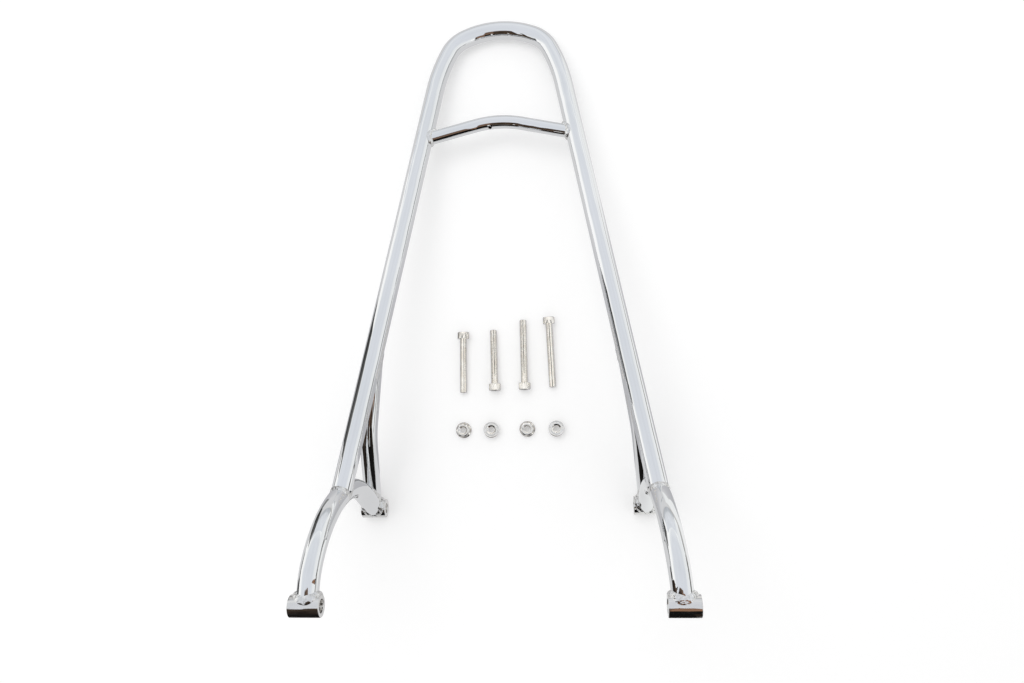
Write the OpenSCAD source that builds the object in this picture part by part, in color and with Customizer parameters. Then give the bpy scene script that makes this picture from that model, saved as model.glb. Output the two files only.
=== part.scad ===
// Motorbike sissy bar: a bent tube hoop on two arched feet with braces, a crossbar and four bushings,
// lying on its back as on a table, with its cap screws and flange nuts laid out inside the hoop.
// Millimetres, +Z up, +Y towards the hoop's crown, +X to the right.

/* [Hoop] */
// outside diameter of the hoop's tube and of both foot arches
tube_od = 20; // [18:0.5:22]
// wall thickness of the hoop's and the foot arches' tube
tube_wall = 2; // [1.2:0.1:3]
// distance from the rear bushings' axis to the crown's centreline
hoop_length = 541; // [510:1:570]
// slope of the hoop's plane from the crown up to the feet, in degrees
hoop_pitch = 11.7; // [10:0.1:13]
// bend radius of the crown
crown_radius = 90; // [82:1:98]
// angle that the crown's bend covers on each side of the middle
crown_half_angle = 26; // [22:0.5:30]
// bend radius of the two shoulders
shoulder_radius = 38; // [32:1:44]
// angle from straight across at which each shoulder runs out
shoulder_end = 65; // [60:0.5:70]
// radius of the slow curve that leads each shoulder into its leg
neck_radius = 200; // [160:5:240]

/* [Crossbar] */
// outside diameter of the crossbar
crossbar_od = 14.5; // [12:0.5:17]
// wall thickness of the crossbar
crossbar_wall = 1.5; // [1:0.1:2.5]
// distance from the crown's centreline to the middle of the crossbar
crossbar_drop = 121; // [110:1:140]
// bend radius of the crossbar's middle
crossbar_bend_radius = 105; // [80:1:130]
// slope of the crossbar's two straight arms, in degrees
crossbar_slope = 14.5; // [10:0.5:18]
// diameter of the vent hole in the crossbar's foot side
vent_d = 3; // [2:0.5:4]
// distance of the vent hole from the middle
vent_offset = 9; // [4:1:14]

/* [Foot arches] */
// length of each arch's straight tail, from the end of its bend to the rear bushing's centre
arch_tail_length = 45.8; // [34:0.5:52]
// angle by which the arch's bend has passed its top where it meets the front bushing
arch_entry = 4.3; // [2:0.1:8]
// toe of each arch's plane, in degrees
arch_toe = 5.1; // [3:0.1:7]
// sideways distance from the middle to the rear bushings' centres
rear_bushing_x = 147.7; // [140:0.5:156]
// sideways distance from the middle to the front bushings' centres
front_bushing_x = 166.2; // [160:0.5:173]
// distance of the front bushings' axis ahead of the rear one
front_bushing_ahead = 69; // [62:1:76]
// height of the front bushings' axis above the rear one
front_bushing_rise = 167.9; // [160:1:176]

/* [Bushings] */
// outside diameter of the four bushings
bushing_od = 20; // [18:0.5:22]
// length of each front bushing
front_bushing_length = 28.6; // [22:0.5:34]
// bore of each front bushing
front_bore = 12.2; // [10:0.1:14]
// length of each rear bushing
rear_bushing_length = 26.5; // [20:0.5:32]
// bore of each rear bushing
rear_bore = 10.4; // [8:0.1:12]
// chamfer on the bushings' end edges
bushing_chamfer = 0.5; // [0.2:0.1:1]

/* [Braces] */
// outside diameter of the two braces
brace_od = 18.6; // [16:0.2:20]
// wall thickness of the braces
brace_wall = 1.8; // [1:0.1:2.5]
// distance from the rear bushings' axis back to each brace's upper joint
brace_back = 167.9; // [150:1:185]
// distance from the rear bushings' axis back to each brace's knee
knee_back = 80.5; // [70:0.5:92]
// height of each brace's knee above the rear bushings' axis
knee_rise = 49.5; // [45:0.5:54]
// distance of each brace's knee inboard of the rear bushing's centre
knee_inset = 6; // [3:0.5:9]
// bend radius of the knee
knee_radius = 100; // [60:5:130]
// distance of each brace's foot outboard of the rear bushing's centre
brace_foot_offset = 1.5; // [0:0.5:3]

/* [Welds] */
// reach of a weld bead off the tube or bushing that is landed on
bead_on_main = 2.2; // [2.1:0.1:3]
// reach of a weld bead off the tube that lands
bead_on_branch = 1.9; // [1.2:0.1:2]
// root gap between a coped tube end and the surface that it lands on
root_gap = 0.3; // [0.2:0.05:0.5]
// clearance between a bead and the surface that is landed on
main_fit = 0.1; // [0.05:0.01:0.15]
// clearance between a bead and the tube that lands
branch_fit = 0.2; // [0.16:0.01:0.3]
// hairline between neighbouring bends and straights of one tube
seam = 0.02; // [0.01:0.005:0.05]

/* [Cap screws] */
// thread diameter of the four cap screws
screw_d = 8; // [6:0.5:9]
// length under the head of the two short cap screws
short_screw_length = 60; // [50:1:66]
// length under the head of the two long cap screws
long_screw_length = 70; // [60:1:76]
// head diameter
screw_head_d = 13; // [12:0.5:15]
// head height
screw_head_height = 8; // [6:0.5:9]
// width across flats of the hex socket
socket_flats = 6; // [4:0.5:6.5]
// depth of the hex socket
socket_depth = 4; // [2.5:0.5:5]
// bevel at the screw's tip and at the rim of its head
screw_bevel = 1; // [0.4:0.1:1.2]
// sideways place of the first screw's head end
screw_1_x = -47.2; // [-60:0.1:-40]
// distance of the first screw's head end back from the rear bushings' axis
screw_1_back = 192.7; // [188:0.1:198]
// direction in which the first screw points, in degrees
screw_1_turn = -90.9; // [-96:0.1:-85]
// sideways place of the second screw's head end
screw_2_x = -12.8; // [-20:0.1:-5]
// distance of the second screw's head end back from the rear bushings' axis
screw_2_back = 126.1; // [120:0.1:132]
// direction in which the second screw points, in degrees
screw_2_turn = 90.8; // [85:0.1:96]
// sideways place of the third screw's head end
screw_3_x = 20.2; // [12:0.1:28]
// distance of the third screw's head end back from the rear bushings' axis
screw_3_back = 126.4; // [120:0.1:132]
// direction in which the third screw points, in degrees
screw_3_turn = 90.4; // [85:0.1:96]
// sideways place of the fourth screw's head end
screw_4_x = 48.4; // [42:0.1:58]
// distance of the fourth screw's head end back from the rear bushings' axis
screw_4_back = 206.5; // [202:0.1:212]
// direction in which the fourth screw points, in degrees
screw_4_turn = -88; // [-94:0.1:-84]

/* [Flange nuts] */
// diameter of the nuts' flange
nut_flange_d = 17.5; // [16:0.5:19]
// thickness of the flange at its rim
nut_rim = 1.2; // [0.8:0.1:1.6]
// width across flats of the nuts' hexagon
nut_flats = 13; // [12:0.5:14]
// height of the nuts
nut_height = 8; // [6.5:0.5:9]
// depth of thread, by which the nuts' bore is smaller in radius than the screws
nut_thread_bite = 0.6; // [0.4:0.1:0.8]
// distance of the row of nuts back from the rear bushings' axis
nut_row_back = 83.4; // [76:0.1:90]
// sideways place of the first nut
nut_1_x = -49.2; // [-60:0.1:-42]
// sideways place of the second nut
nut_2_x = -17.6; // [-26:0.1:-8]
// sideways place of the third nut
nut_3_x = 21.7; // [12:0.1:30]
// sideways place of the fourth nut
nut_4_x = 54.1; // [46:0.1:64]

/* [Hidden] */
$fn = 64;

tube_bore = tube_od - 2 * tube_wall;
crossbar_bore = crossbar_od - 2 * crossbar_wall;
brace_bore = brace_od - 2 * brace_wall;
nut_bore = screw_d - 2 * nut_thread_bite;

// the box of the lying bar is centred on the origin, front to back
back_edge = hoop_length + tube_od / 2;
front_edge = -front_bushing_ahead - bushing_od / 2;
y_middle = (back_edge + front_edge) / 2;

// hoop plane: x sideways, second coordinate towards the crown, zero at the crown's centreline
crown_point = [0, hoop_length, tube_od / 2];
hoop_normal = [0, sin(hoop_pitch), cos(hoop_pitch)];
hoop_down = [0, -cos(hoop_pitch), sin(hoop_pitch)];

// a direction in the hoop's plane, measured clockwise from the crown's outward normal
function outward(angle) = [sin(angle), cos(angle), 0];

crown_centre = [0, -crown_radius, 0];
shoulder_start_point = crown_centre + crown_radius * outward(crown_half_angle);
shoulder_centre = shoulder_start_point - shoulder_radius * outward(crown_half_angle);
neck_start_point = shoulder_centre + shoulder_radius * outward(shoulder_end);
neck_centre = neck_start_point - neck_radius * outward(shoulder_end);

// arch plane: through both bushing centres of a side, with the chosen toe and the lean that this needs
rear_point = [rear_bushing_x, 0, bushing_od / 2];
front_point = rear_point + [front_bushing_x - rear_bushing_x, -front_bushing_ahead, front_bushing_rise];
foot_span = front_point - rear_point;
arch_lean = acos(-tan(arch_toe) * foot_span.y / norm([foot_span.x, foot_span.z]))
    - atan2(foot_span.z, foot_span.x);
arch_along = [-sin(arch_toe) * cos(arch_lean), cos(arch_toe), sin(arch_toe) * sin(arch_lean)];
arch_up = [sin(arch_lean), 0, cos(arch_lean)];
arch_front = [foot_span * arch_along, foot_span * arch_up];
arch_fall = arch_front.y * cos(arch_entry) - arch_front.x * sin(arch_entry);
arch_radius = (arch_front * arch_front - pow(arch_tail_length, 2)) / (2 * arch_fall);
arch_centre = arch_front + arch_radius * [sin(arch_entry), -cos(arch_entry)];
arch_start = atan2(-arch_centre.y, -arch_centre.x) + acos(arch_radius / norm(arch_centre));
arch_sweep = 90 + arch_entry - arch_start;

// each leg runs from the neck's curve to the arch's centreline, where this crosses the hoop's plane
arch_tilt = [arch_along * hoop_normal, arch_up * hoop_normal];
arch_drop = (rear_point - crown_point) * hoop_normal + arch_centre * arch_tilt;
leg_meet = atan2(arch_tilt.y, arch_tilt.x) - acos(-arch_drop / (arch_radius * norm(arch_tilt)));
leg_point = rear_point + (arch_centre.x + arch_radius * cos(leg_meet)) * arch_along
    + (arch_centre.y + arch_radius * sin(leg_meet)) * arch_up;
leg_target = [leg_point.x, -(leg_point - crown_point) * hoop_down, 0];
leg_reach = leg_target - neck_centre;
neck_end = atan2(leg_reach.x, leg_reach.y) - acos(neck_radius / norm(leg_reach));
leg_start = neck_centre + neck_radius * outward(neck_end);
leg_length = norm(leg_target - leg_start);

// a point of the right leg's centreline, given in the hoop's plane by its distance from the crown
function leg_at(drop) = [leg_start.x + (-leg_start.y - drop) * -cot(neck_end), -drop, 0];
function cot(angle) = cos(angle) / sin(angle);
function from_hoop(point) = crown_point + [point.x, 0, 0] - point.y * hoop_down;

// crossbar arm: runs from the bend's end to the leg's centreline
arm_start = [0, -crossbar_drop - crossbar_bend_radius, 0] + crossbar_bend_radius * outward(crossbar_slope);
arm_gap = leg_start - arm_start;
arm_length = (arm_gap.x * sin(neck_end) + arm_gap.y * cos(neck_end))
    / (cos(crossbar_slope) * sin(neck_end) - sin(crossbar_slope) * cos(neck_end));

// brace: upper joint on the leg, knee, foot on the rear bushing
brace_top = from_hoop(leg_at((hoop_length - brace_back) / cos(hoop_pitch)));
brace_knee = rear_point + [-knee_inset, knee_back, knee_rise];
brace_foot = rear_point + [brace_foot_offset, 0, 0];
function unit(v) = v / norm(v);
brace_upper = unit(brace_knee - brace_top);
brace_lower = unit(brace_foot - brace_knee);
knee_normal = unit(cross(brace_upper, brace_lower));
knee_inward = cross(knee_normal, brace_upper);
knee_angle = acos(brace_upper * brace_lower);
knee_tangent = knee_radius * tan(knee_angle / 2);
knee_start = brace_knee - knee_tangent * brace_upper;
knee_stop = brace_knee + knee_tangent * brace_lower;
knee_centre = knee_start + knee_radius * knee_inward;

// screws lie with the head's rim and the tip on the table
function screw_tilt(length) = atan((screw_head_d - screw_d) / 2 / (length - screw_bevel));

// frames

module in_bar() {
    translate([0, -y_middle, 0]) children();
}

module in_hoop() {
    translate(crown_point) rotate([-hoop_pitch, 0, 0]) children();
}

module in_arch() {
    translate(rear_point) rotate([0, arch_lean, 0]) rotate([0, 0, arch_toe]) rotate([90, 0, 90]) children();
}

module on_left() {
    mirror([1, 0, 0]) children();
}

// the cross-section of a tube, or of a solid rod where the bore is zero
module ring(d, bore) {
    difference() {
        circle(d = d);
        if (bore > 0) circle(d = bore);
    }
}

// a straight length along +X
module straight(length, d, bore) {
    rotate([0, 90, 0]) linear_extrude(length) ring(d, bore);
}

// a straight length from a point along a direction
module strut(start, direction, length, d, bore) {
    translate(start)
        rotate([0, acos(direction.z / norm(direction)), atan2(direction.y, direction.x)])
            linear_extrude(length) ring(d, bore);
}

// a bend in the XY plane, from one angle over a sweep, a hairline short at each end
module bend(centre, from, sweep, radius, d, bore) {
    hairline = seam / radius * 180 / PI;
    translate([centre.x, centre.y, 0]) rotate([0, 0, from + hairline])
        rotate_extrude(angle = sweep - 2 * hairline) translate([radius, 0]) ring(d, bore);
}

// runs: each tube along its centreline, solid where it serves as a cutter

module leg_run(d, bore = 0, past = 0) {
    in_hoop() translate(leg_start) rotate([0, 0, -neck_end]) straight(leg_length + past, d, bore);
}

module shoulder_run(d, bore = 0) {
    in_hoop() {
        bend(shoulder_centre, 90 - shoulder_end, shoulder_end - crown_half_angle, shoulder_radius, d, bore);
        bend(neck_centre, 90 - neck_end, neck_end - shoulder_end, neck_radius, d, bore);
    }
}

module crown_run(d, bore = 0) {
    in_hoop() bend(crown_centre, 90 - crown_half_angle, 2 * crown_half_angle, crown_radius, d, bore);
}

module crossbar_arm(d, bore = 0) {
    in_hoop() translate(arm_start) rotate([0, 0, -crossbar_slope]) straight(arm_length, d, bore);
}

module crossbar_middle(d, bore = 0) {
    in_hoop() bend([0, -crossbar_drop - crossbar_bend_radius], 90 - crossbar_slope, 2 * crossbar_slope,
        crossbar_bend_radius, d, bore);
}

module arch_tail(d, bore = 0) {
    in_arch() rotate([0, 0, arch_start + 90]) straight(arch_tail_length, d, bore);
}

module arch_bend(d, bore = 0) {
    in_arch() bend(arch_centre, arch_start, arch_sweep, arch_radius, d, bore);
}

module brace_upper_run(d, bore = 0) {
    strut(brace_top, brace_upper, norm(knee_start - brace_top), d, bore);
}

module brace_lower_run(d, bore = 0) {
    strut(knee_stop, brace_lower, norm(brace_foot - knee_stop), d, bore);
}

module brace_knee_run(d, bore = 0) {
    multmatrix([
        [-knee_inward.x, brace_upper.x, knee_normal.x, knee_centre.x],
        [-knee_inward.y, brace_upper.y, knee_normal.y, knee_centre.y],
        [-knee_inward.z, brace_upper.z, knee_normal.z, knee_centre.z],
        [0, 0, 0, 1]
    ]) bend([0, 0], 0, knee_angle, knee_radius, d, bore);
}

// a solid cylinder about a bushing's axis
module bushing_run(centre, length, d) {
    translate([centre.x - length / 2, centre.y, centre.z]) straight(length, d, 0);
}

// tubes, each coped to what it lands on

module hoop_tube() {
    color("silver") in_bar() {
        crown_run(tube_od, tube_bore);
        for (side = [0, 1]) mirror([side, 0, 0]) {
            shoulder_run(tube_od, tube_bore);
            difference() {
                leg_run(tube_od, tube_bore);
                arch_bend(tube_od + 2 * root_gap);
            }
        }
    }
}

module crossbar_tube() {
    color("lightsteelblue") in_bar() {
        difference() {
            crossbar_middle(crossbar_od, crossbar_bore);
            in_hoop() translate([-vent_offset, -crossbar_drop, 0]) rotate([90, 0, 0])
                cylinder(d = vent_d, h = crossbar_od);
        }
        for (side = [0, 1]) mirror([side, 0, 0]) difference() {
            crossbar_arm(crossbar_od, crossbar_bore);
            leg_run(tube_od + 2 * root_gap);
        }
    }
}

module foot_arch() {
    color("gainsboro") {
        difference() {
            arch_tail(tube_od, tube_bore);
            bushing_run(rear_point, rear_bushing_length, bushing_od + 2 * root_gap);
        }
        difference() {
            arch_bend(tube_od, tube_bore);
            bushing_run(front_point, front_bushing_length, bushing_od + 2 * root_gap);
        }
    }
}

module brace() {
    color("lightgray") {
        difference() {
            brace_upper_run(brace_od, brace_bore);
            leg_run(tube_od + 2 * root_gap);
        }
        brace_knee_run(brace_od, brace_bore);
        difference() {
            brace_lower_run(brace_od, brace_bore);
            bushing_run(rear_point, rear_bushing_length, bushing_od + 2 * root_gap);
            arch_tail(tube_od + 2 * root_gap);
        }
    }
}

// bushings

module bushing(centre, length, bore) {
    color("slategray") translate([centre.x - length / 2, centre.y, centre.z]) rotate([0, 90, 0])
        rotate_extrude() polygon([
            [bore / 2 + bushing_chamfer, 0],
            [bushing_od / 2 - bushing_chamfer, 0],
            [bushing_od / 2, bushing_chamfer],
            [bushing_od / 2, length - bushing_chamfer],
            [bushing_od / 2 - bushing_chamfer, length],
            [bore / 2 + bushing_chamfer, length],
            [bore / 2, length - bushing_chamfer],
            [bore / 2, bushing_chamfer]
        ]);
}

// welds: what lies within the bead's reach of both tubes, outside of both

module crossbar_weld() {
    color("gray") difference() {
        intersection() {
            leg_run(tube_od + 2 * bead_on_main);
            crossbar_arm(crossbar_od + 2 * bead_on_branch);
        }
        leg_run(tube_od + 2 * main_fit);
        crossbar_arm(crossbar_od + 2 * branch_fit);
    }
}

module leg_weld() {
    color("gray") difference() {
        intersection() {
            arch_bend(tube_od + 2 * bead_on_main);
            leg_run(tube_od + 2 * bead_on_branch, past = bead_on_main);
        }
        arch_bend(tube_od + 2 * main_fit);
        leg_run(tube_od + 2 * branch_fit, past = 2 * bead_on_main);
    }
}

module brace_top_weld() {
    color("gray") difference() {
        intersection() {
            leg_run(tube_od + 2 * bead_on_main);
            brace_upper_run(brace_od + 2 * bead_on_branch);
        }
        leg_run(tube_od + 2 * main_fit);
        brace_upper_run(brace_od + 2 * branch_fit);
    }
}

module brace_foot_weld() {
    color("gray") {
        difference() {
            intersection() {
                bushing_run(rear_point, rear_bushing_length, bushing_od + 2 * bead_on_main);
                brace_lower_run(brace_od + 2 * bead_on_branch);
            }
            bushing_run(rear_point, rear_bushing_length, bushing_od + 2 * main_fit);
            arch_tail(tube_od + 2 * branch_fit);
            brace_lower_run(brace_od + 2 * branch_fit);
        }
        difference() {
            intersection() {
                arch_tail(tube_od + 2 * bead_on_branch);
                brace_lower_run(brace_od + 2 * bead_on_branch);
            }
            bushing_run(rear_point, rear_bushing_length, bushing_od + 2 * bead_on_main + 2 * seam);
            arch_tail(tube_od + 2 * branch_fit);
            brace_lower_run(brace_od + 2 * branch_fit);
        }
    }
}

module front_bushing_weld() {
    color("gray") difference() {
        intersection() {
            bushing_run(front_point, front_bushing_length, bushing_od + 2 * bead_on_main);
            arch_bend(tube_od + 2 * bead_on_branch);
        }
        bushing_run(front_point, front_bushing_length, bushing_od + 2 * main_fit);
        arch_bend(tube_od + 2 * branch_fit);
    }
}

module rear_bushing_weld() {
    color("gray") difference() {
        intersection() {
            bushing_run(rear_point, rear_bushing_length, bushing_od + 2 * bead_on_main);
            arch_tail(tube_od + 2 * bead_on_branch);
        }
        bushing_run(rear_point, rear_bushing_length, bushing_od + 2 * main_fit);
        arch_tail(tube_od + 2 * branch_fit);
        brace_lower_run(brace_od + 2 * bead_on_branch);
    }
}

// fasteners

// a hexagonal prism given by its width across flats
module hexagon(flats, height) {
    cylinder(d = flats / cos(30), h = height, $fn = 6);
}

// a cap screw that lies with its head end above a point and points away from it
module cap_screw(x, back, turn, length) {
    color("whitesmoke") translate([x, back, 0]) rotate([0, 0, turn])
        translate([0, 0, screw_head_d / 2 * cos(screw_tilt(length)) + screw_head_height * sin(screw_tilt(length))])
            rotate([0, 90 + screw_tilt(length), 0]) difference() {
                rotate_extrude() polygon([
                    [0, 0],
                    [screw_head_d / 2 - screw_bevel, 0],
                    [screw_head_d / 2, screw_bevel],
                    [screw_head_d / 2, screw_head_height],
                    [screw_d / 2, screw_head_height],
                    [screw_d / 2, screw_head_height + length - screw_bevel],
                    [screw_d / 2 - screw_bevel, screw_head_height + length],
                    [0, screw_head_height + length]
                ]);
                translate([0, 0, -socket_depth]) hexagon(socket_flats, 2 * socket_depth);
            }
}

// a flange nut that rests on its flange, or upturned on its hexagon's end
module flange_nut(x, upturned = false) {
    color("whitesmoke") translate([x, nut_row_back, upturned ? nut_height : 0])
        rotate([upturned ? 180 : 0, 0, 0]) difference() {
            union() {
                cylinder(d = nut_flange_d, h = nut_rim);
                translate([0, 0, nut_rim])
                    cylinder(d1 = nut_flange_d, d2 = nut_flats, h = (nut_flange_d - nut_flats) / 2);
                intersection() {
                    hexagon(nut_flats, nut_height);
                    cylinder(d1 = nut_flats + 2 * nut_height, d2 = nut_flats, h = nut_height);
                }
            }
            translate([0, 0, -nut_height]) cylinder(d = nut_bore, h = 3 * nut_height);
        }
}

hoop_tube();
crossbar_tube();
in_bar() on_left() foot_arch();  // left_foot_arch
in_bar() foot_arch();  // right_foot_arch
in_bar() on_left() brace();  // left_brace
in_bar() brace();  // right_brace
in_bar() on_left() bushing(front_point, front_bushing_length, front_bore);  // left_front_bushing
in_bar() bushing(front_point, front_bushing_length, front_bore);  // right_front_bushing
in_bar() on_left() bushing(rear_point, rear_bushing_length, rear_bore);  // left_rear_bushing
in_bar() bushing(rear_point, rear_bushing_length, rear_bore);  // right_rear_bushing
in_bar() on_left() crossbar_weld();  // left_crossbar_weld
in_bar() crossbar_weld();  // right_crossbar_weld
in_bar() on_left() leg_weld();  // left_leg_weld
in_bar() leg_weld();  // right_leg_weld
in_bar() on_left() brace_top_weld();  // left_brace_top_weld
in_bar() brace_top_weld();  // right_brace_top_weld
in_bar() on_left() brace_foot_weld();  // left_brace_foot_weld
in_bar() brace_foot_weld();  // right_brace_foot_weld
in_bar() on_left() front_bushing_weld();  // left_front_bushing_weld
in_bar() front_bushing_weld();  // right_front_bushing_weld
in_bar() on_left() rear_bushing_weld();  // left_rear_bushing_weld
in_bar() rear_bushing_weld();  // right_rear_bushing_weld
in_bar() cap_screw(screw_1_x, screw_1_back, screw_1_turn, short_screw_length);  // short_screw_1
in_bar() cap_screw(screw_2_x, screw_2_back, screw_2_turn, short_screw_length);  // short_screw_2
in_bar() cap_screw(screw_3_x, screw_3_back, screw_3_turn, long_screw_length);  // long_screw_1
in_bar() cap_screw(screw_4_x, screw_4_back, screw_4_turn, long_screw_length);  // long_screw_2
in_bar() flange_nut(nut_1_x);  // flange_nut_1
in_bar() flange_nut(nut_2_x, upturned = true);  // flange_nut_2
in_bar() flange_nut(nut_3_x);  // flange_nut_3
in_bar() flange_nut(nut_4_x, upturned = true);  // flange_nut_4
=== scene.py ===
import math
import bmesh
import bpy
from mathutils import Matrix, Vector, noise


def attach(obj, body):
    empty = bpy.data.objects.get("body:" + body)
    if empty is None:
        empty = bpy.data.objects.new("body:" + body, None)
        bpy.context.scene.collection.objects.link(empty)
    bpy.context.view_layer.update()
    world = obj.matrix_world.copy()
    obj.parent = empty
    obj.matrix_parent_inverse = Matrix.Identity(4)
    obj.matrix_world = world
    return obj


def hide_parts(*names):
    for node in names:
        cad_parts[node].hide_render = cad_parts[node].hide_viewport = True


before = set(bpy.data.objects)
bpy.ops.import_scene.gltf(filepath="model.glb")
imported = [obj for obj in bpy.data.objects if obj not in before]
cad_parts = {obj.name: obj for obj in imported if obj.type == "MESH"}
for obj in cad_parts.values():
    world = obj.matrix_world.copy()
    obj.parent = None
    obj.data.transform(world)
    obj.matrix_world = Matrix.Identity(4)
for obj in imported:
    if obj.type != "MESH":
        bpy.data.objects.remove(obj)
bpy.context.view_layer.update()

# the camera stands over the bar's lower half and looks almost straight down
cameraSettings = {
    "place": (0.08924, -0.15032, 0.90378),
    "right": (0.99544, -0.02032, -0.09319),
    "up": (0.02986, 0.99432, 0.10219),
    "back": (0.09058, -0.10451, 0.99039),
    "lens": 28.66,
    "sensor": 36.0,
    "nearest": 0.01,
}


def makeCamera():
    data = bpy.data.cameras.new("viewCamera")
    data.lens = cameraSettings["lens"]
    data.sensor_width = cameraSettings["sensor"]
    data.sensor_fit = "HORIZONTAL"
    data.clip_start = cameraSettings["nearest"]
    camera = bpy.data.objects.new("viewCamera", data)
    axes = [Vector(cameraSettings[name]) for name in ("right", "up", "back")]
    turn = Matrix([[axis[row] for axis in axes] for row in range(3)]).to_4x4()
    camera.matrix_world = Matrix.Translation(cameraSettings["place"]) @ turn
    bpy.context.collection.objects.link(camera)
    bpy.context.scene.camera = camera


makeCamera()
print("camera placed")


# the bar's centrelines, in metres and degrees

bar = {
    "tubeRadius": 0.010,
    "hoopLength": 0.541,
    "hoopPitch": 11.7,
    "crownRadius": 0.090,
    "crownHalfAngle": 26.0,
    "shoulderRadius": 0.038,
    "shoulderEnd": 65.0,
    "neckRadius": 0.200,
    "crossbarRadius": 0.00725,
    "crossbarDrop": 0.121,
    "crossbarBend": 0.105,
    "crossbarSlope": 14.5,
    "archTail": 0.0458,
    "archEntry": 4.3,
    "archToe": 5.1,
    "rearX": 0.1477,
    "frontX": 0.1662,
    "frontAhead": 0.069,
    "frontRise": 0.1679,
    "bushingRadius": 0.010,
    "braceRadius": 0.0093,
    "braceBack": 0.1679,
    "kneeBack": 0.0805,
    "kneeRise": 0.0495,
    "kneeInset": 0.006,
    "kneeRadius": 0.100,
    "braceFootOffset": 0.0015,
    "rowShift": 0.236,
}


def rad(degrees):
    return math.radians(degrees)


def planeFrame(origin, across, along, normal):
    columns = (across, along, normal)
    turn = Matrix([[column[row] for column in columns] for row in range(3)]).to_4x4()
    return Matrix.Translation(origin) @ turn


def outward(angle):
    return Vector((math.sin(angle), math.cos(angle), 0))


pitch = rad(bar["hoopPitch"])
crownPoint = Vector((0, bar["hoopLength"] - bar["rowShift"], bar["tubeRadius"]))
hoopNormal = Vector((0, math.sin(pitch), math.cos(pitch)))
hoopUp = Vector((0, math.cos(pitch), -math.sin(pitch)))
hoopFrame = planeFrame(crownPoint, Vector((1, 0, 0)), hoopUp, hoopNormal)

crownCentre = Vector((0, -bar["crownRadius"], 0))
shoulderStart = crownCentre + bar["crownRadius"] * outward(rad(bar["crownHalfAngle"]))
shoulderCentre = shoulderStart - bar["shoulderRadius"] * outward(rad(bar["crownHalfAngle"]))
neckStart = shoulderCentre + bar["shoulderRadius"] * outward(rad(bar["shoulderEnd"]))
neckCentre = neckStart - bar["neckRadius"] * outward(rad(bar["shoulderEnd"]))

rearPoint = Vector((bar["rearX"], -bar["rowShift"], bar["bushingRadius"]))
frontPoint = rearPoint + Vector((bar["frontX"] - bar["rearX"], -bar["frontAhead"], bar["frontRise"]))
span = frontPoint - rearPoint
toe = rad(bar["archToe"])
lean = math.acos(-math.tan(toe) * span.y / math.hypot(span.x, span.z)) - math.atan2(span.z, span.x)
archAlong = Vector((-math.sin(toe) * math.cos(lean), math.cos(toe), math.sin(toe) * math.sin(lean)))
archUp = Vector((math.sin(lean), 0, math.cos(lean)))
archNormal = archAlong.cross(archUp)
archFrame = planeFrame(rearPoint, archAlong, archUp, archNormal)
entry = rad(bar["archEntry"])
archFront = Vector((span.dot(archAlong), span.dot(archUp)))
archFall = archFront.y * math.cos(entry) - archFront.x * math.sin(entry)
archRadius = (archFront.length_squared - bar["archTail"] ** 2) / (2 * archFall)
archCentre = archFront + archRadius * Vector((math.sin(entry), -math.cos(entry)))
archStart = math.atan2(-archCentre.y, -archCentre.x) + math.acos(archRadius / archCentre.length)
archSweep = math.pi / 2 + entry - archStart
archHub = rearPoint + archCentre.x * archAlong + archCentre.y * archUp

archTilt = Vector((archAlong.dot(hoopNormal), archUp.dot(hoopNormal)))
archDrop = (rearPoint - crownPoint).dot(hoopNormal) + archCentre.dot(archTilt)
legMeet = math.atan2(archTilt.y, archTilt.x) - math.acos(-archDrop / (archRadius * archTilt.length))
legPoint = archHub + archRadius * (math.cos(legMeet) * archAlong + math.sin(legMeet) * archUp)
legTarget = Vector((legPoint.x, (legPoint - crownPoint).dot(hoopUp), 0))
legReach = legTarget - neckCentre
neckEnd = math.atan2(legReach.x, legReach.y) - math.acos(bar["neckRadius"] / legReach.length)
legStart = neckCentre + bar["neckRadius"] * outward(neckEnd)

armStart = Vector((0, -bar["crossbarDrop"] - bar["crossbarBend"], 0)) \
    + bar["crossbarBend"] * outward(rad(bar["crossbarSlope"]))
armGap = legStart - armStart
armSlope = rad(bar["crossbarSlope"])
armLength = (armGap.x * math.sin(neckEnd) + armGap.y * math.cos(neckEnd)) \
    / (math.cos(armSlope) * math.sin(neckEnd) - math.sin(armSlope) * math.cos(neckEnd))
armEnd = armStart + armLength * Vector((math.cos(armSlope), -math.sin(armSlope), 0))

braceDrop = (bar["hoopLength"] - bar["braceBack"]) / math.cos(pitch)
legSlope = (legTarget.x - legStart.x) / (legStart.y - legTarget.y)
braceTop = hoopFrame @ Vector((legStart.x + (legStart.y + braceDrop) * legSlope, -braceDrop, 0))
braceKnee = rearPoint + Vector((-bar["kneeInset"], bar["kneeBack"], bar["kneeRise"]))
braceFoot = rearPoint + Vector((bar["braceFootOffset"], 0, 0))
braceUpper = (braceKnee - braceTop).normalized()
braceLower = (braceFoot - braceKnee).normalized()
kneeNormal = braceUpper.cross(braceLower).normalized()
kneeAngle = math.acos(braceUpper.dot(braceLower))
kneeTangent = bar["kneeRadius"] * math.tan(kneeAngle / 2)
kneeStart = braceKnee - kneeTangent * braceUpper
kneeCentre = kneeStart + bar["kneeRadius"] * kneeNormal.cross(braceUpper)


# tools shared by the pieces

pieceSettings = {"mergeDistance": 1e-7, "sharp": 35.0}


def facing(point, direction):
    return Matrix.Translation(point) @ direction.to_track_quat("Z", "Y").to_matrix().to_4x4()


def openRing(bm, sides, radius, matrix):
    made = bmesh.ops.create_circle(bm, cap_ends=False, segments=sides, radius=radius, matrix=matrix)
    return made["verts"]


def ringEdges(ring):
    inRing = set(ring)
    return list({e for v in ring for e in v.link_edges if e.other_vert(v) in inRing})


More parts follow.
